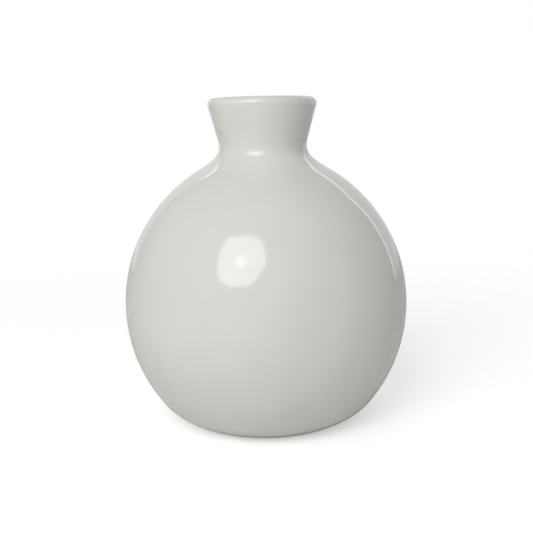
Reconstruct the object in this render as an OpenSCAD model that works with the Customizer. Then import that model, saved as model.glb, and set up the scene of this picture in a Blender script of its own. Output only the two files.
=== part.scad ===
// Ceramic bud vase: a round globe on a small foot ring, drawn in over a spreading shoulder to
// a narrow waist and opening again into a short flared neck with a rounded lip.
// The origin is the centre of the foot, on the surface the vase stands on. +Z is up.
//
// The outline is one chain of arcs and one straight flare, each tangent to the next.
// Every layer is that same chain drawn at its own depth below the glazed skin, so the
// layers always meet face to face, whatever sizes are chosen.

/* [Globe] */
// Largest outside diameter of the globe
globe_d = 90; // [80:1:120]
// How far the centre of the globe's outline arc lies beyond the axis, which squares its shoulders
globe_bulge = 4.4; // [0:0.2:8]

/* [Foot] */
// Outside diameter of the flat ring that the vase stands on
foot_d = 41; // [32:0.5:50]
// Radius of the round edge that runs from the foot up into the globe
foot_edge_r = 18; // [12:0.5:22]
// Width of the foot ring
foot_ring_w = 4; // [2.5:0.5:6]
// Depth of the recess inside the foot ring
recess_h = 1.8; // [1.2:0.2:3]
// Radius of the recess's rounded corners, at most half its depth
recess_round = 0.8; // [0.3:0.1:1.2]
// Width of the bare clay between the foot ring and the glaze line, measured along the round edge
bare_w = 5; // [2:0.5:8]

/* [Neck] */
// Outside diameter of the waist, where the neck is narrowest
neck_d = 27.7; // [22:0.5:33]
// Radius of the tight hollow curve just below the waist
shoulder_r = 4.8; // [3:0.2:8]
// Radius of the wide hollow curve that spreads the shoulder into the globe
sweep_r = 34; // [20:1:60]
// How far the wide curve lifts the waist above where the tight one alone would set it
sweep_lift = 0.7; // [0.2:0.1:1.2]
// Radius of the hollow curve just above the waist
throat_r = 9.2; // [6:0.2:14]
// Height of the lip above the waist
neck_rise = 15; // [12:0.5:25]
// Outside diameter of the lip
mouth_d = 34; // [28:0.4:40]

/* [Wall] */
// Thickness of the wall, glaze included
wall = 4.2; // [3:0.1:5]
// Thickness of the glaze
glaze = 0.35; // [0.2:0.05:0.6]
// Thickness of the floor over the recess, glaze included
floor_t = 4.4; // [3.5:0.1:7]
// Radius of the curve between the inside wall and the inside floor
floor_round = 11; // [6:0.5:14]

/* [Hidden] */
$fn = 180;
// Largest angle between two points along an arc
arc_step = 3;

// Centres of the arcs, as [radius from the axis, height]
belly_r = globe_d / 2 + globe_bulge;
edge_c = [foot_d / 2, foot_edge_r - glaze];
belly_c = [-globe_bulge, edge_c[1] + leg(belly_r - foot_edge_r, edge_c[0] + globe_bulge)];
shoulder_run = neck_d / 2 + shoulder_r + globe_bulge;
waist_z = belly_c[1] + leg(belly_r + shoulder_r, shoulder_run) + sweep_lift;
shoulder_c = [neck_d / 2 + shoulder_r, waist_z];
sweep_c = meet(belly_c, belly_r + sweep_r, shoulder_c, sweep_r - shoulder_r);
throat_c = [neck_d / 2 + throat_r, waist_z];
lip_r = wall / 2;
lip_c = [mouth_d / 2 - lip_r, waist_z + neck_rise - lip_r];
floor_z = recess_h + floor_t - glaze;
floor_run = leg(belly_r - wall - floor_round, belly_c[1] - floor_z - floor_round);
floor_c = [floor_run - globe_bulge, floor_z + floor_round];

// Angles at which one arc hands over to the next
line_a = -90 + bare_w / (foot_edge_r - glaze) * 180 / PI;
edge_a = bearing(belly_c, edge_c);
sweep_a = bearing(belly_c, sweep_c);
turn_a = 360 + bearing(sweep_c, shoulder_c);
floor_a = bearing(belly_c, floor_c);
flare_a = flare(throat_c - lip_c, throat_r + lip_r);

// Underside of the foot
ring_in_r = foot_d / 2 - foot_ring_w;
corner_r = min(recess_round, recess_h / 2);
recess_flat_r = ring_in_r - corner_r;

// Length of the second leg of a right triangle
function leg(hypotenuse, first) = sqrt(pow(hypotenuse, 2) - pow(first, 2));

// Direction from one point to another, in degrees
function bearing(from, to) = atan2(to[1] - from[1], to[0] - from[0]);

// Outer crossing of two circles, given their centres and radii
function meet(centre_a, radius_a, centre_b, radius_b) =
    let (gap = norm(centre_b - centre_a),
         along = (pow(radius_a, 2) - pow(radius_b, 2) + pow(gap, 2)) / (2 * gap),
         way = (centre_b - centre_a) / gap)
    centre_a + along * way + leg(radius_a, along) * [way[1], -way[0]];

// Lean of the line that passes between two circles and touches both, away from the vertical
function flare(gap, radii) = atan2(-gap[1], gap[0]) - acos(radii / norm(gap));

// Points along an arc, with both of its ends
function arc(centre, radius, from, to) =
    let (steps = max(1, ceil(abs(to - from) / arc_step)))
    [for (i = [0 : steps])
        let (a = from + (to - from) * i / steps)
        centre + radius * [cos(a), sin(a)]];

// The same points from last to first
function backwards(points) = [for (i = [len(points) - 1 : -1 : 0]) points[i]];

// Outside of the vase at a depth below the glazed skin, from the glaze line up to the crest of
// the lip
function outside(depth) = concat(
    arc(edge_c, foot_edge_r - depth, line_a, edge_a),
    arc(belly_c, belly_r - depth, edge_a, sweep_a),
    arc(sweep_c, sweep_r + depth, 180 + sweep_a, turn_a),
    arc(shoulder_c, shoulder_r + depth, turn_a, 180),
    arc(throat_c, throat_r + depth, 180, 180 - flare_a),
    arc(lip_c, lip_r - depth, -flare_a, 90));

// Inside of the vase at a height above the liner's skin, from the crest of the lip to the axis
function inside(cover) = concat(
    arc(lip_c, lip_r - cover, 90, 180 - flare_a),
    arc(throat_c, throat_r + wall - cover, 180 - flare_a, 180),
    arc(shoulder_c, shoulder_r + wall - cover, 180, turn_a),
    arc(sweep_c, sweep_r + wall - cover, turn_a, 180 + sweep_a),
    arc(belly_c, belly_r - wall + cover, sweep_a, floor_a),
    arc(floor_c, floor_round + cover, floor_a, -90),
    [[0, floor_z - cover]]);

// Bare clay, from the foot ring along the round edge to the glaze line
bare_edge = arc(edge_c, foot_edge_r - glaze, -90, line_a);

// Underside of the clay, from the axis out to the foot ring
underside = concat(
    [[0, recess_h]],
    arc([recess_flat_r, recess_h - corner_r], corner_r, 90, 0),
    arc([ring_in_r + corner_r, corner_r], corner_r, 180, 270));

// Fired clay: globe, neck, floor and foot ring in one piece, as they come out of the mould
module clay_body() {
    color([0.90, 0.89, 0.86])
    rotate_extrude()
    polygon(concat(bare_edge, outside(glaze), inside(glaze), underside));
}

// Glaze on the outside, from the bare line above the foot to the crest of the lip
module outer_glaze() {
    color([0.83, 0.84, 0.82])
    rotate_extrude()
    polygon(concat(outside(0), backwards(outside(glaze))));
}

// Glaze that was poured through the inside, from the crest of the lip to the floor
module liner_glaze() {
    color([0.80, 0.81, 0.79])
    rotate_extrude()
    polygon(concat(inside(glaze), backwards(inside(0))));
}

// Glaze in the recess of the foot, inside the bare ring
module base_glaze() {
    color([0.84, 0.85, 0.83])
    translate([0, 0, recess_h - glaze])
    cylinder(h = glaze, r = recess_flat_r);
}

clay_body();
outer_glaze();
liner_glaze();
base_glaze();
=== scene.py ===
import math

import bmesh
import bpy
import numpy as np
from bpy.props import FloatProperty, FloatVectorProperty, IntProperty, PointerProperty
from mathutils import Euler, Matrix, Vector


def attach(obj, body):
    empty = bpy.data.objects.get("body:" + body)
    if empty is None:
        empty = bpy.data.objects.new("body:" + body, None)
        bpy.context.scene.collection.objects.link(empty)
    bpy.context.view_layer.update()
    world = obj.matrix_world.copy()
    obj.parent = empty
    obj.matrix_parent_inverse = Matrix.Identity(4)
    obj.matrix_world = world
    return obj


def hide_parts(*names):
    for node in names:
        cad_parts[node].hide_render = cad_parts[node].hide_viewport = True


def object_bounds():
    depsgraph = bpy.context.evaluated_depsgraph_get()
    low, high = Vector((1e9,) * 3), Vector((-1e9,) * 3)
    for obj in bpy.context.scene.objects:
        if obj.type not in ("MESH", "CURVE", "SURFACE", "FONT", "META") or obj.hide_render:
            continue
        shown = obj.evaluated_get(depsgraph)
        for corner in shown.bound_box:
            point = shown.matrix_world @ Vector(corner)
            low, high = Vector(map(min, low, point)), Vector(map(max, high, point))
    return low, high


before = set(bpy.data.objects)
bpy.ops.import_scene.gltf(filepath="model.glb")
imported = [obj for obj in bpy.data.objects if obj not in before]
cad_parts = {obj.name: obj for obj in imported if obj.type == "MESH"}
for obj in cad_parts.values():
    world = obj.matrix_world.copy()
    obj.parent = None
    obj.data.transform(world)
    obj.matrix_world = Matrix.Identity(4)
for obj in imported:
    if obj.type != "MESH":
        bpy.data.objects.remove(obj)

bl_info = {
    "name": "Ceramic bud vase",
    "version": (1, 0, 0),
    "blender": (4, 5, 0),
    "location": "View3D > Sidebar > Bud Vase",
    "description": "Makes a glazed ceramic bud vase and a small studio to see it in",
    "category": "Add Mesh",
}

CAD_BOX = [list(corner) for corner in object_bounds()]
MM = 0.001
BODY = "root"
# Points nearer to each other than this are one point
SAME_POINT = 1e-7
# A point nearer to the axis than this is on it
ON_AXIS = 1e-8
# The first degrees of an outside outline, drawn in fine steps because the glaze's bead lies there
BEAD_SPAN = 9
BEAD_STEP = 0.3
# How far up from the glaze line the bead is thickest, and how far from there it has shrunk to a third
BEAD_RISE = 1.4 * MM
BEAD_REACH = 1.1 * MM
# The hidden face of a coat has one ring for this many rings of its free face
BACK_STRIDE = 4
# The most that a size here may differ from the frame's box
SIZE_SLACK = 0.1 * MM


def linear(hex_colour):
    """An sRGB hex colour such as #E7E8E3 as linear red, green and blue"""
    channels = [int(hex_colour[i : i + 2], 16) / 255 for i in (1, 3, 5)]
    return tuple(c / 12.92 if c <= 0.04045 else ((c + 0.055) / 1.055) ** 2.4 for c in channels)


def length(name, description, default):
    """A size in metres that a user may change"""
    return FloatProperty(
        name=name, description=description, default=default, min=0.0, unit="LENGTH", precision=5
    )


def colour(name, description, default):
    """A colour that a user may change, given as sRGB hex"""
    return FloatVectorProperty(
        name=name, description=description, default=linear(default), subtype="COLOR", min=0.0, max=1.0
    )


# ---------------------------------------------------------------- what a user may change


class BudVaseForm(bpy.types.PropertyGroup):
    globe_d: length("Globe", "Largest outside diameter of the globe", 0.090)
    globe_bulge: length("Globe bulge", "How far the centre of the globe's arc lies beyond the axis", 0.0044)
    foot_d: length("Foot", "Outside diameter of the flat ring that the vase stands on", 0.041)
    foot_edge_r: length("Foot edge", "Radius of the round edge from the foot up into the globe", 0.018)
    foot_ring_w: length("Foot ring", "Width of the foot ring", 0.004)
    recess_h: length("Recess", "Depth of the recess inside the foot ring", 0.0018)
    recess_round: length("Recess rounding", "Radius of the recess's rounded corners", 0.0008)
    bare_w: length("Bare clay", "Width of the bare clay below the glaze line, along the round edge", 0.005)
    neck_d: length("Waist", "Outside diameter of the neck where it is narrowest", 0.0277)
    shoulder_r: length("Shoulder", "Radius of the tight hollow curve just below the waist", 0.0048)
    sweep_r: length("Sweep", "Radius of the wide hollow curve from the shoulder into the globe", 0.034)
    sweep_lift: length("Sweep lift", "How far the wide curve lifts the waist", 0.0007)
    throat_r: length("Throat", "Radius of the hollow curve just above the waist", 0.0092)
    neck_rise: length("Neck rise", "Height of the lip above the waist", 0.015)
    mouth_d: length("Lip", "Outside diameter of the lip", 0.034)
    wall: length("Wall", "Thickness of the wall, glaze included", 0.0042)
    glaze: length("Glaze", "Thickness of the glaze", 0.00035)
    floor_t: length("Floor", "Thickness of the floor over the recess, glaze included", 0.0044)
    floor_round: length("Floor rounding", "Radius between the inside wall and the inside floor", 0.011)
    sides: IntProperty(
        name="Sides", description="Facets round the vase, shaded smooth", default=256, min=48, max=360
    )


class BudVaseFinish(bpy.types.PropertyGroup):
    glaze_colour: colour("Glaze", "Fired colour of the white glaze", "#E8E9E4")
    glaze_deep: colour("Thick glaze", "Colour of the glaze where it has gathered", "#DDE0DA")
    clay_colour: colour("Clay", "Colour of the bare fired clay", "#D9D0C0")
    clay_grit: colour("Grit", "Colour of the darker grains in the clay", "#A69A86")
    glaze_roughness: FloatProperty(
        name="Glaze roughness", description="How satin the glaze is", default=0.09, min=0.0, max=1.0
    )
    wobble: length("Wobble", "Mean dip of the poured glaze below an even coat, up to twice this", 0.00003)
    bead: length("Bead", "How much thicker the glaze is just above its lower edge", 0.00012)


# ---------------------------------------------------------------- the outline


def arc(centre, radius, start, end, step, hollow=False):
    """Points along an arc, and the direction of the air at each. A hollow arc has air at its centre."""
    count = max(1, math.ceil(abs(end - start) / step)) + 1
    angles = np.radians(np.linspace(start, end, count))
    out = np.column_stack([np.cos(angles), np.sin(angles)])
    return np.array(centre) + radius * out, -out if hollow else out


def chain(*arcs, gap=1.2 * MM):
    """Joins arcs end to end, drops repeated points, and fills straight stretches longer than the gap"""
    points, airs = np.vstack([a[0] for a in arcs]), np.vstack([a[1] for a in arcs])
    kept_points, kept_airs = [points[0]], [airs[0]]
    for point, air in zip(points[1:], airs[1:]):
        step = float(np.linalg.norm(point - kept_points[-1]))
        if step < SAME_POINT:
            continue
        fill = math.ceil(step / gap) if step > 1.5 * gap else 1
        first, first_air = kept_points[-1], kept_airs[-1]
        for i in range(1, fill + 1):
            kept_points.append(first + (point - first) * i / fill)
            mixed = first_air + (air - first_air) * i / fill
            kept_airs.append(mixed / np.linalg.norm(mixed))
    return np.array(kept_points), np.array(kept_airs)


def bearing(start, end):
    """Direction from one point to another, in degrees"""
    return math.degrees(math.atan2(end[1] - start[1], end[0] - start[0]))


def leg(hypotenuse, first):
    """Length of the second leg of a right triangle"""
    return math.sqrt(hypotenuse**2 - first**2)


def meet(centre_a, radius_a, centre_b, radius_b):
    """Crossing of two circles, on the right of the way from the first centre to the second"""
    between = np.subtract(centre_b, centre_a)
    distance = float(np.linalg.norm(between))
    along = (radius_a**2 - radius_b**2 + distance**2) / (2 * distance)
    way = between / distance
    return np.array(centre_a) + along * way + leg(radius_a, along) * np.array([way[1], -way[0]])


class Outline:
    """The vase's outline: arcs and one straight flare, each tangent to the next, as radius and height"""

    def __init__(self, form):
        self.form = form
        self.belly_r = form.globe_d / 2 + form.globe_bulge
        self.edge_c = (form.foot_d / 2, form.foot_edge_r - form.glaze)
        rise = leg(self.belly_r - form.foot_edge_r, self.edge_c[0] + form.globe_bulge)
        self.belly_c = (-form.globe_bulge, self.edge_c[1] + rise)
        run = form.neck_d / 2 + form.shoulder_r + form.globe_bulge
        self.waist_z = self.belly_c[1] + leg(self.belly_r + form.shoulder_r, run) + form.sweep_lift
        self.shoulder_c = (form.neck_d / 2 + form.shoulder_r, self.waist_z)
        self.sweep_c = meet(
            self.belly_c, self.belly_r + form.sweep_r, self.shoulder_c, form.sweep_r - form.shoulder_r
        )
        self.throat_c = (form.neck_d / 2 + form.throat_r, self.waist_z)
        self.lip_r = form.wall / 2
        self.height = self.waist_z + form.neck_rise
        self.lip_c = (form.mouth_d / 2 - self.lip_r, self.height - self.lip_r)
        self.floor_z = form.recess_h + form.floor_t - form.glaze
        drop = self.belly_c[1] - self.floor_z - form.floor_round
        reach = leg(self.belly_r - form.wall - form.floor_round, drop)
        self.floor_c = (reach - form.globe_bulge, self.floor_z + form.floor_round)
        # Where each arc ends, in degrees. The glaze line is part of the way up the foot's round edge.
        self.line_a = -90 + math.degrees(form.bare_w / (form.foot_edge_r - form.glaze))
        self.edge_a = bearing(self.belly_c, self.edge_c)
        self.sweep_a = bearing(self.belly_c, self.sweep_c)
        self.turn_a = 360 + bearing(self.sweep_c, self.shoulder_c)
        self.floor_a = bearing(self.belly_c, self.floor_c)
        gap = np.subtract(self.throat_c, self.lip_c)
        lean = math.acos((form.throat_r + self.lip_r) / np.linalg.norm(gap))
        self.flare_a = math.degrees(math.atan2(-gap[1], gap[0]) - lean)

    def outside(self, depth, fine, start=-90):
        """From an angle on the foot's edge up to the crest of the lip, at a depth below the glaze's face.

        fine is the step along the wide arcs, in degrees. The tight arcs take larger ones.
        """
        form = self.form
        bead_end = start + BEAD_SPAN
        return chain(
            arc(self.edge_c, form.foot_edge_r - depth, start, bead_end, BEAD_STEP),
            arc(self.edge_c, form.foot_edge_r - depth, bead_end, self.edge_a, 2 * fine),
            arc(self.belly_c, self.belly_r - depth, self.edge_a, self.sweep_a, fine),
            arc(self.sweep_c, form.sweep_r + depth, 180 + self.sweep_a, self.turn_a, fine, True),
            arc(self.shoulder_c, form.shoulder_r + depth, self.turn_a, 180, 4 * fine, True),
            arc(self.throat_c, form.throat_r + depth, 180, 180 - self.flare_a, 3 * fine, True),
            arc(self.lip_c, self.lip_r - depth, -self.flare_a, 90, 6 * fine),
        )

    def inside(self, depth, fine):
        """From the crest of the lip down to the axis at the floor, at a depth below the liner's face"""
        form = self.form
        inner = form.wall - depth
        points, airs = chain(
            arc(self.lip_c, self.lip_r - depth, 90, 180 - self.flare_a, 6 * fine),
            arc(self.throat_c, form.throat_r + inner, 180 - self.flare_a, 180, 3 * fine),
            arc(self.shoulder_c, form.shoulder_r + inner, 180, self.turn_a, 3 * fine),
            arc(self.sweep_c, form.sweep_r + inner, self.turn_a, 180 + self.sweep_a, fine),
            arc(self.belly_c, self.belly_r - inner, self.sweep_a, self.floor_a, fine, True),
            arc(self.floor_c, form.floor_round + depth, self.floor_a, -90, 4 * fine, True),
            ([(0.0, self.floor_z - depth)], [(0.0, 1.0)]),
        )
        points[-1, 0] = 0.0
        return points, airs

    def underside(self, fine):
        """From the axis out over the recess to the inner edge of the foot ring"""
        form = self.form
        ring = form.foot_d / 2 - form.foot_ring_w
        corner = min(form.recess_round, form.recess_h / 2)
        return chain(
            ([(0.0, form.recess_h)], [(0.0, -1.0)]),
            arc((ring - corner, form.recess_h - corner), corner, 90, 0, 12 * fine, True),
            arc((ring + corner, corner), corner, 180, 270, 12 * fine),
        )


def checked_outline(form):
    """The outline, as long as its sizes still make the vase that the frame holds"""
    outline = Outline(form)
    low, high = CAD_BOX
    misses = (outline.height - high[2], form.globe_d - (high[0] - low[0]))
    if max(abs(miss) for miss in misses) > SIZE_SLACK:
        raise RuntimeError(f"These sizes and the frame's box differ by {misses} m")
    return outline


def run_of(points):
    """Distance along an outline from its first point, at each point"""
    return np.concatenate([[0.0], np.cumsum(np.linalg.norm(np.diff(points, axis=0), axis=1))])


def wander(places):
    """Smooth noise from -2 to 0 through space, as a sum of a few long waves"""
    waves = (
        ((38, 71, 149), 0.3),
        ((-118, 63, 47), 1.9),
        ((83, -127, 58), 4.1),
        ((55, 139, -171), 2.7),
        ((-149, -88, 121), 5.2),
        ((201, 37, 83), 0.9),
    )
    return sum(np.sin(places @ np.array(wave) + phase) for wave, phase in waves) / len(waves) - 1


# ---------------------------------------------------------------- making a piece


def lathe(name, outline, sides, airs=None, sway=None):
    """Turns an outline round the axis.

    The outline closes on itself, or both of its ends are on the axis.
    sway is how much of the glaze's wander each outline point takes, and airs says where its air is.
    The wander is never positive, so a point only moves away from the air.
    """
    angles = np.linspace(0, 2 * math.pi, sides, endpoint=False)
    places, rings = [], []
    for i, (radius, height) in enumerate(outline):
        if radius < ON_AXIS:
            rings.append([len(places)])
            places.append(np.array([0.0, 0.0, height]))
            continue
        around = np.column_stack([np.cos(angles), np.sin(angles)])
        ring = np.column_stack([radius * around, np.full(sides, height)])
        if sway is not None and sway[i] > 0:
            air = np.column_stack([airs[i, 0] * around, np.full(sides, airs[i, 1])])
            ring = ring + air * (sway[i] * wander(ring))[:, None]
        rings.append(list(range(len(places), len(places) + sides)))
        places.extend(ring)
    faces = []
    pairs = list(zip(rings, rings[1:]))
    if len(rings[0]) > 1:
        pairs.append((rings[-1], rings[0]))
    for low, high in pairs:
        for j in range(sides):
            k = (j + 1) % sides
            if len(low) > 1 and len(high) > 1:
                faces.append((low[j], low[k], high[k], high[j]))
            elif len(low) > 1:
                faces.append((low[j], low[k], high[0]))
            elif len(high) > 1:
                faces.append((low[0], high[k], high[j]))
    mesh = bpy.data.meshes.new(name)
    mesh.from_pydata([tuple(p) for p in places], [], faces)
    finish_mesh(mesh)
    piece = bpy.data.objects.new(name, mesh)
    bpy.context.collection.objects.link(piece)
    return piece


def finish_mesh(mesh, crease=math.radians(50)):
    """Turns every face outwards and shades the surface smooth, with its few true corners kept crisp"""
    shape = bmesh.new()
    shape.from_mesh(mesh)
    bmesh.ops.recalc_face_normals(shape, faces=shape.faces)
    for face in shape.faces:
        face.smooth = True
    for edge in shape.edges:
        edge.smooth = edge.is_manifold and edge.calc_face_angle(0.0) < crease
    open_edges = [edge for edge in shape.edges if not edge.is_manifold]
    shape.to_mesh(mesh)
    shape.free()
    if open_edges:
        raise RuntimeError(f"{mesh.name} has {len(open_edges)} open edges")


def place(piece, node, material):
    """Lets a piece stand for its CAD node and gives it its finish"""
    piece.data.materials.append(material)
    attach(piece, BODY)
    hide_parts(node)


# ---------------------------------------------------------------- materials

# The glaze thins over this height below the lip's crest, where this share of the clay's colour shows
LIP_THIN = 0.9 * MM
LIP_CLAY = 0.22
# Mottle across the glaze, from the uneven opacity of a poured coat
MOTTLE = 14 * MM
# Ripple across the glaze and its height, the slight orange peel of a satin glaze
PEEL = 2.5 * MM
PEEL_HEIGHT = 0.02 * MM
# Grog grains in the clay and their height, drawn coarser than a casting slip's own so that they show
GROG = 0.5 * MM
GROG_HEIGHT = 0.05 * MM
# Roughness of the liner as a share of the outer glaze's
LINER_ROUGHNESS = 0.9


def add_node(tree, kind, inputs=None, **fields):
    """Adds a node, sets its fields, and sets or links its inputs"""
    node = tree.nodes.new(kind)
    for field, value in fields.items():
        setattr(node, field, value)
    for key, value in (inputs or {}).items():
        if isinstance(value, bpy.types.NodeSocket):
            tree.links.new(value, node.inputs[key])
        else:
            node.inputs[key].default_value = value
    return node


def new_material(name):
    """A material that has only its output node, and that node"""
    material = bpy.data.materials.new(name)
    material.use_nodes = True
    material.node_tree.nodes.clear()
    return material, add_node(material.node_tree, "ShaderNodeOutputMaterial")


def satin_white_glaze(name, outline, finish, roughness):
    """White glaze, opaque with tin or zircon, poured on and fired to a satin gloss.

    It gives the eye a cool milky white with soft-edged reflections, hardly mottled, a little
    warmer where it runs thin over the lip, and a little greyer in soft random patches.
    """
    material, output = new_material(name)
    tree = material.node_tree
    place_at = add_node(tree, "ShaderNodeTexCoord").outputs["Object"]
    mottle = add_node(
        tree,
        "ShaderNodeTexNoise",
        {"Vector": place_at, "Scale": 1 / MOTTLE, "Detail": 2.0, "Roughness": 0.45},
    )
    share = add_node(
        tree,
        "ShaderNodeMapRange",
        {"Value": mottle.outputs["Fac"], "From Min": 0.35, "From Max": 0.75, "To Min": 0.0, "To Max": 0.35},
    )
    coat_tint = add_node(
        tree,
        "ShaderNodeMix",
        {0: share.outputs["Result"], 6: (*finish.glaze_colour, 1), 7: (*finish.glaze_deep, 1)},
        data_type="RGBA",
    )
    height = add_node(tree, "ShaderNodeSeparateXYZ", {"Vector": place_at}).outputs["Z"]
    thin = add_node(
        tree,
        "ShaderNodeMapRange",
        {
            "Value": height,
            "From Min": outline.height - LIP_THIN,
            "From Max": outline.height,
            "To Min": 0.0,
            "To Max": LIP_CLAY,
        },
        interpolation_type="SMOOTHSTEP",
    )
    lip = add_node(
        tree,
        "ShaderNodeMix",
        {0: thin.outputs["Result"], 6: coat_tint.outputs[2], 7: (*finish.clay_colour, 1)},
        data_type="RGBA",
    )
    peel = add_node(
        tree,
        "ShaderNodeTexNoise",
        {"Vector": place_at, "Scale": 1 / PEEL, "Detail": 2.0, "Roughness": 0.5},
    )
    relief = add_node(
        tree, "ShaderNodeBump", {"Height": peel.outputs["Fac"], "Distance": PEEL_HEIGHT, "Strength": 0.35}
    )
    shader = add_node(
        tree,
        "ShaderNodeBsdfPrincipled",
        {
            "Base Color": lip.outputs[2],
            "Roughness": roughness,
            "IOR": 1.46,
            "Normal": relief.outputs["Normal"],
        },
    )
    tree.links.new(shader.outputs["BSDF"], output.inputs["Surface"])
    return material


def biscuit_clay(finish):
    """White stoneware clay, slip-cast and fired, left bare where the foot was wiped.

    It gives the eye a matt, warm, faintly gritty white beside the cool glaze.
    """
    material, output = new_material("fired_white_stoneware_bare")
    tree = material.node_tree
    place_at = add_node(tree, "ShaderNodeTexCoord").outputs["Object"]
    grains = add_node(
        tree, "ShaderNodeTexNoise", {"Vector": place_at, "Scale": 1 / GROG, "Detail": 3.0}
    )
    share = add_node(
        tree,
        "ShaderNodeMapRange",
        {"Value": grains.outputs["Fac"], "From Min": 0.56, "From Max": 0.74, "To Min": 0.0, "To Max": 0.6},
    )
    tint = add_node(
        tree,
        "ShaderNodeMix",
        {0: share.outputs["Result"], 6: (*finish.clay_colour, 1), 7: (*finish.clay_grit, 1)},
        data_type="RGBA",
    )
    relief = add_node(
        tree, "ShaderNodeBump", {"Height": grains.outputs["Fac"], "Distance": GROG_HEIGHT, "Strength": 0.6}
    )
    shader = add_node(
        tree,
        "ShaderNodeBsdfPrincipled",
        {
            "Base Color": tint.outputs[2],
            "Roughness": 0.88,
            "IOR": 1.5,
            "Normal": relief.outputs["Normal"],
        },
    )
    tree.links.new(shader.outputs["BSDF"], output.inputs["Surface"])
    return material


# ---------------------------------------------------------------- the pieces


def coat(points, airs, thickness):
    """The free face of a glaze coat that is laid on a skin"""
    return points + airs * thickness[:, None]


class BUDVASE_OT_clay(bpy.types.Operator):
    """Make the fired clay body with its bare foot ring"""

    bl_idname = "budvase.clay"
    bl_label = "Clay body"

    def execute(self, context):
        form, finish = context.scene.budvase_form, context.scene.budvase_finish
        outline = checked_outline(form)
        under, _ = outline.underside(fine=1.0)
        outer, _ = outline.outside(form.glaze, fine=2.0)
        inner, _ = outline.inside(form.glaze, fine=3.0)
        points = np.vstack([under, outer, inner[1:]])
        piece = lathe("clay_shell", points, form.sides)
        place(piece, "clay_body", biscuit_clay(finish))
        return {"FINISHED"}


class BUDVASE_OT_outer_glaze(bpy.types.Operator):
    """Make the glaze on the outside, from its bead above the foot to the crest of the lip"""

    bl_idname = "budvase.outer_glaze"
    bl_label = "Outer glaze"

    def execute(self, context):
        form, finish = context.scene.budvase_form, context.scene.budvase_finish
        outline = checked_outline(form)
        skin, airs = outline.outside(form.glaze, fine=0.9, start=outline.line_a)
        run = run_of(skin)
        # The lower edge is rounded off over the glaze's own thickness, and swells into the bead above
        round_off = np.clip(run / form.glaze, 0, 1)
        edge = np.sqrt(1 - (1 - round_off) ** 2)
        thickness = form.glaze + finish.bead * np.exp(-(((run - BEAD_RISE) / BEAD_REACH) ** 2))
        free = coat(skin, airs, thickness * edge)
        back = skin[::-BACK_STRIDE]
        if not np.allclose(back[-1], skin[0]):
            back = np.vstack([back, skin[:1]])
        points = np.vstack([back[:-1], free])
        airs = np.vstack([airs[: len(back) - 1], airs])
        sway = np.concatenate([np.zeros(len(back) - 1), finish.wobble * edge])
        piece = lathe("outer_glaze_coat", points, form.sides, airs, sway)
        material = satin_white_glaze("satin_white_glaze_poured", outline, finish, finish.glaze_roughness)
        place(piece, "outer_glaze", material)
        return {"FINISHED"}


class BUDVASE_OT_liner_glaze(bpy.types.Operator):
    """Make the glaze that was poured through the inside"""

    bl_idname = "budvase.liner_glaze"
    bl_label = "Liner glaze"

    def execute(self, context):
        form, finish = context.scene.budvase_form, context.scene.budvase_finish
        outline = checked_outline(form)
        skin, airs = outline.inside(form.glaze, fine=1.0)
        free = coat(skin, airs, np.full(len(skin), form.glaze))
        free[-1, 0] = 0.0
        back = np.vstack([skin[:-1:BACK_STRIDE], skin[-1:]])
        points = np.vstack([back, free[::-1]])
        airs = np.vstack([airs[: len(back)], airs[::-1]])
        sway = np.concatenate([np.zeros(len(back)), np.full(len(free), finish.wobble)])
        piece = lathe("liner_glaze_coat", points, form.sides, airs, sway)
        roughness = LINER_ROUGHNESS * finish.glaze_roughness
        material = satin_white_glaze("satin_white_glaze_liner", outline, finish, roughness)
        place(piece, "liner_glaze", material)
        return {"FINISHED"}


class BUDVASE_OT_base_glaze(bpy.types.Operator):
    """Make the glaze in the recess of the foot"""

    bl_idname = "budvase.base_glaze"
    bl_label = "Base glaze"

    def execute(self, context):
        form, finish = context.scene.budvase_form, context.scene.budvase_finish
        outline = checked_outline(form)
        corner = min(form.recess_round, form.recess_h / 2)
        rim = form.foot_d / 2 - form.foot_ring_w - corner
        top = form.recess_h
        ring_count, rim_step = 40, 10
        ring = np.linspace(0, rim - form.glaze, ring_count)
        rim_arc, _ = arc((rim - form.glaze, top), form.glaze, -90, 0, rim_step)
        face = np.column_stack([ring, np.full(len(ring), top - form.glaze)])
        points = np.vstack([face, rim_arc[1:], [(0.0, top)]])
        airs = np.tile((0.0, -1.0), (len(points), 1))
        sway = np.concatenate([np.full(len(ring), finish.wobble), np.zeros(len(points) - len(ring))])
        piece = lathe("base_glaze_pool", points, form.sides, airs, sway)
        material = satin_white_glaze("satin_white_glaze_base", outline, finish, finish.glaze_roughness)
        place(piece, "base_glaze", material)
        return {"FINISHED"}


# ---------------------------------------------------------------- the studio

# The table paper's size, how far below the foot it lies so that the two don't coincide, and how far
# from the vase it starts and ends to fade into the background
PAPER_R = 1.5
PAPER_SIDES = 96
PAPER_DROP = 0.1 * MM
FADE_START, FADE_END = 0.08, 0.40
# How much the paper glows for the camera alone, so that it shows as bright as it would lit from all round
PAPER_LIFT = 0.48
# Where the soft box is aimed, about halfway up the vase
HEART = Vector((0.0, 0.0, 0.050))
# Where the soft box is, as azimuth and elevation in degrees, at a metre from there
SOFT_BOX_AT = (-22.6, 36.1)
# How bright its cloth is, how much brighter its middle is, and how far that reaches
SOFT_BOX_GLOW = 5.25
SOFT_BOX_CORE = 4.5
SOFT_BOX_CORE_R = 0.12
# Its eight corners, as a turn in degrees and a reach in metres from its middle.
# Its cloth is pulled a little out of true.
SOFT_BOX_CORNERS = (
    (19, 0.34), (51, 0.38), (99, 0.37), (132, 0.38), (178, 0.35), (237, 0.33), (293, 0.35), (330, 0.37),
)
# How far behind the vase the board stands, how wide its bright edges are, and how bright each is
BOARD_Y = 0.70
BOARD_EDGE = 0.07
BOARD_GLOW = 0.82
BOARD_EDGE_GLOW = 2.3
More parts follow.
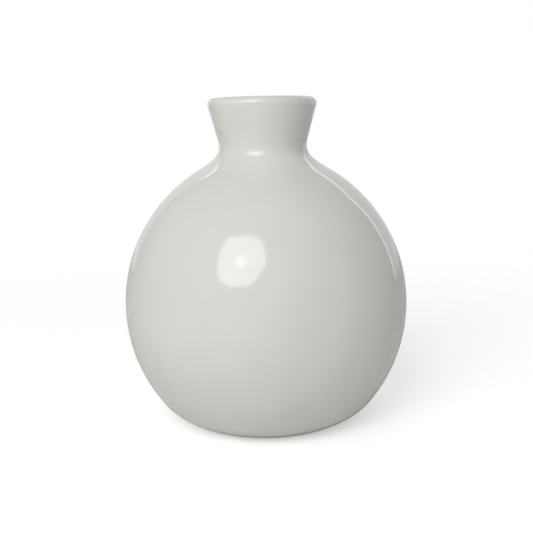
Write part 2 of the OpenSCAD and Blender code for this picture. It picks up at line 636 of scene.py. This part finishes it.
# How bright the studio is in front of the vase and beside it, and how bright straight behind it
STUDIO_FRONT, STUDIO_BEHIND = 0.25, 0.46
# The camera: its lens in millimetres, its place, the point it is aimed at and its tilt in radians
LENS = 53.21
CAMERA_AT = (0.0, -0.250, 0.094)
CAMERA_AIM = (0.00035, 0.0, 0.04809)
CAMERA_TILT = -0.0205


def towards(azimuth, elevation):
    """Unit vector from the vase. Azimuth 0 is towards the front, and 90 is to the right."""
    a, e = math.radians(azimuth), math.radians(elevation)
    return Vector((math.sin(a) * math.cos(e), -math.cos(a) * math.cos(e), math.sin(e)))


def stage_mesh(name, corners, faces, material):
    """A flat piece of studio equipment"""
    mesh = bpy.data.meshes.new(name)
    mesh.from_pydata(corners, [], faces)
    mesh.materials.append(material)
    thing = bpy.data.objects.new(name, mesh)
    bpy.context.collection.objects.link(thing)
    return thing


def light_panel(name, corners, centre, facing, glow, core=0.0, core_r=1.0):
    """A glowing flat panel, brighter by core at its origin, that the camera doesn't see"""
    material, output = new_material(name + "_cloth")
    tree = material.node_tree
    place_at = add_node(tree, "ShaderNodeTexCoord").outputs["Object"]
    reach = add_node(tree, "ShaderNodeVectorMath", {0: place_at}, operation="LENGTH").outputs["Value"]
    falloff = add_node(
        tree,
        "ShaderNodeMapRange",
        {"Value": reach, "From Min": 0.0, "From Max": core_r, "To Min": glow + core, "To Max": glow},
        interpolation_type="SMOOTHERSTEP",
    )
    emission = add_node(
        tree, "ShaderNodeEmission", {"Color": (1, 1, 1, 1), "Strength": falloff.outputs["Result"]}
    )
    tree.links.new(emission.outputs["Emission"], output.inputs["Surface"])
    panel = stage_mesh(name, [(*corner, 0.0) for corner in corners], [tuple(range(len(corners)))], material)
    panel.location = centre
    panel.rotation_mode = "QUATERNION"
    panel.rotation_quaternion = facing.to_track_quat("Z", "Y")
    panel.visible_camera = False
    panel.visible_shadow = False


class BUDVASE_OT_stage(bpy.types.Operator):
    """Make the floor, the lights, the surroundings and the camera"""

    bl_idname = "budvase.stage"
    bl_label = "Studio"

    def execute(self, context):
        scene = context.scene
        scene.view_settings.view_transform = "Standard"
        self.floor()
        self.lights()
        self.surroundings(scene)
        self.camera(scene)
        return {"FINISHED"}

    def floor(self):
        """A pale paper table that fades out into the white background"""
        material, output = new_material("white_table_paper")
        tree = material.node_tree
        place_at = add_node(tree, "ShaderNodeTexCoord").outputs["Object"]
        reach = add_node(tree, "ShaderNodeVectorMath", {0: place_at}, operation="LENGTH").outputs["Value"]
        fade = add_node(
            tree,
            "ShaderNodeMapRange",
            {"Value": reach, "From Min": FADE_START, "From Max": FADE_END},
            interpolation_type="SMOOTHERSTEP",
        )
        rays = add_node(tree, "ShaderNodeLightPath").outputs["Is Camera Ray"]
        faded = add_node(tree, "ShaderNodeMath", {0: fade.outputs["Result"], 1: rays}, operation="MULTIPLY")
        # From below, the paper is clear, so that it doesn't hide the foot
        below = add_node(tree, "ShaderNodeNewGeometry").outputs["Backfacing"]
        clear = add_node(tree, "ShaderNodeMath", {0: faded.outputs[0], 1: below}, operation="MAXIMUM")
        seen = add_node(tree, "ShaderNodeMath", {0: rays, 1: PAPER_LIFT}, operation="MULTIPLY")
        paper = add_node(
            tree,
            "ShaderNodeBsdfPrincipled",
            {
                "Base Color": (*linear("#E6E6E4"), 1),
                "Roughness": 0.9,
                "Specular IOR Level": 0.2,
                "Emission Color": (1, 1, 1, 1),
                "Emission Strength": seen.outputs[0],
            },
        )
        nothing = add_node(tree, "ShaderNodeBsdfTransparent")
        mix = add_node(
            tree,
            "ShaderNodeMixShader",
            {0: clear.outputs[0], 1: paper.outputs["BSDF"], 2: nothing.outputs["BSDF"]},
        )
        tree.links.new(mix.outputs["Shader"], output.inputs["Surface"])
        angles = np.linspace(0, 2 * math.pi, PAPER_SIDES, endpoint=False)
        corners = [(PAPER_R * math.cos(a), PAPER_R * math.sin(a), 0.0) for a in angles]
        floor = stage_mesh("table_paper", corners, [tuple(range(PAPER_SIDES))], material)
        floor.location.z = -PAPER_DROP

    def lights(self):
        """An eight-sided soft box at the front left, and a board behind with bright edges"""
        direction = towards(*SOFT_BOX_AT)
        corners = []
        for turn, reach in SOFT_BOX_CORNERS:
            angle = math.radians(turn)
            corners.append((reach * math.cos(angle), reach * math.sin(angle)))
        light_panel(
            "soft_box", corners, HEART + direction, -direction, SOFT_BOX_GLOW, SOFT_BOX_CORE, SOFT_BOX_CORE_R
        )
        # The board narrows upwards and its top slopes. Its corners are given across and up.
        foot_left, foot_right = (-0.60, 0.0), (0.88, 0.0)
        top_left, top_right = (-0.42, 0.60), (0.62, 0.56)
        over_left = (top_left[0], top_left[1] + BOARD_EDGE)
        over_right = (top_right[0] + BOARD_EDGE, top_right[1] + BOARD_EDGE)
        foot_beyond = (foot_right[0] + BOARD_EDGE, foot_right[1])
        board = [foot_left, foot_right, top_right, top_left]
        top_edge = [top_left, top_right, over_right, over_left]
        side_edge = [top_right, foot_right, foot_beyond, over_right]
        behind, facing = Vector((0, BOARD_Y, 0)), Vector((0, -1, 0))
        light_panel("back_board", board, behind, facing, BOARD_GLOW)
        light_panel("back_board_top", top_edge, behind, facing, BOARD_EDGE_GLOW)
        light_panel("back_board_side", side_edge, behind, facing, BOARD_EDGE_GLOW)

    def surroundings(self, scene):
        """A dim studio, brighter behind the vase, in front of a white background"""
        world = bpy.data.worlds.new("studio")
        scene.world = world
        world.use_nodes = True
        tree = world.node_tree
        tree.nodes.clear()
        output = add_node(tree, "ShaderNodeOutputWorld")
        direction = add_node(tree, "ShaderNodeTexCoord").outputs["Generated"]
        depth = add_node(tree, "ShaderNodeSeparateXYZ", {"Vector": direction}).outputs["Y"]
        glow = add_node(
            tree,
            "ShaderNodeMapRange",
            {
                "Value": depth,
                "From Min": 0.0,
                "From Max": 1.0,
                "To Min": STUDIO_FRONT,
                "To Max": STUDIO_BEHIND,
            },
        )
        studio = add_node(
            tree, "ShaderNodeBackground", {"Color": (1, 1, 1, 1), "Strength": glow.outputs["Result"]}
        )
        white = add_node(tree, "ShaderNodeBackground", {"Color": (1, 1, 1, 1), "Strength": 1.0})
        rays = add_node(tree, "ShaderNodeLightPath").outputs["Is Camera Ray"]
        mix = add_node(
            tree,
            "ShaderNodeMixShader",
            {0: rays, 1: studio.outputs["Background"], 2: white.outputs["Background"]},
        )
        tree.links.new(mix.outputs["Shader"], output.inputs["Surface"])

    def camera(self, scene):
        """A lens level with the neck, so that the lip hides the mouth, held very slightly out of level"""
        data = bpy.data.cameras.new("camera")
        data.sensor_width = 36.0
        data.lens = LENS
        data.clip_start, data.clip_end = 0.02, 50.0
        camera = bpy.data.objects.new("camera", data)
        bpy.context.collection.objects.link(camera)
        camera.location = CAMERA_AT
        look = (Vector(CAMERA_AIM) - camera.location).to_track_quat("-Z", "Y")
        camera.rotation_mode = "QUATERNION"
        camera.rotation_quaternion = look @ Euler((0, 0, CAMERA_TILT)).to_quaternion()
        scene.camera = camera


class BUDVASE_PT_panel(bpy.types.Panel):
    """Lists what makes the vase and the values that a user may change"""

    bl_idname = "BUDVASE_PT_panel"
    bl_label = "Bud vase"
    bl_space_type = "VIEW_3D"
    bl_region_type = "UI"
    bl_category = "Bud Vase"

    def draw(self, context):
        for group in (context.scene.budvase_form, context.scene.budvase_finish):
            box = self.layout.box()
            for name in group.__annotations__:
                box.prop(group, name)
        for operator in OPERATORS:
            self.layout.operator(operator.bl_idname)


OPERATORS = (
    BUDVASE_OT_clay,
    BUDVASE_OT_outer_glaze,
    BUDVASE_OT_liner_glaze,
    BUDVASE_OT_base_glaze,
    BUDVASE_OT_stage,
)
CLASSES = (BudVaseForm, BudVaseFinish, *OPERATORS, BUDVASE_PT_panel)


def register():
    for item in CLASSES:
        bpy.utils.register_class(item)
    bpy.types.Scene.budvase_form = PointerProperty(type=BudVaseForm)
    bpy.types.Scene.budvase_finish = PointerProperty(type=BudVaseFinish)


def unregister():
    del bpy.types.Scene.budvase_finish
    del bpy.types.Scene.budvase_form
    for item in reversed(CLASSES):
        bpy.utils.unregister_class(item)


def main():
    register()
    bpy.ops.budvase.clay()
    bpy.ops.budvase.outer_glaze()
    bpy.ops.budvase.liner_glaze()
    bpy.ops.budvase.base_glaze()
    bpy.ops.budvase.stage()


if __name__ == "__main__":
    main()
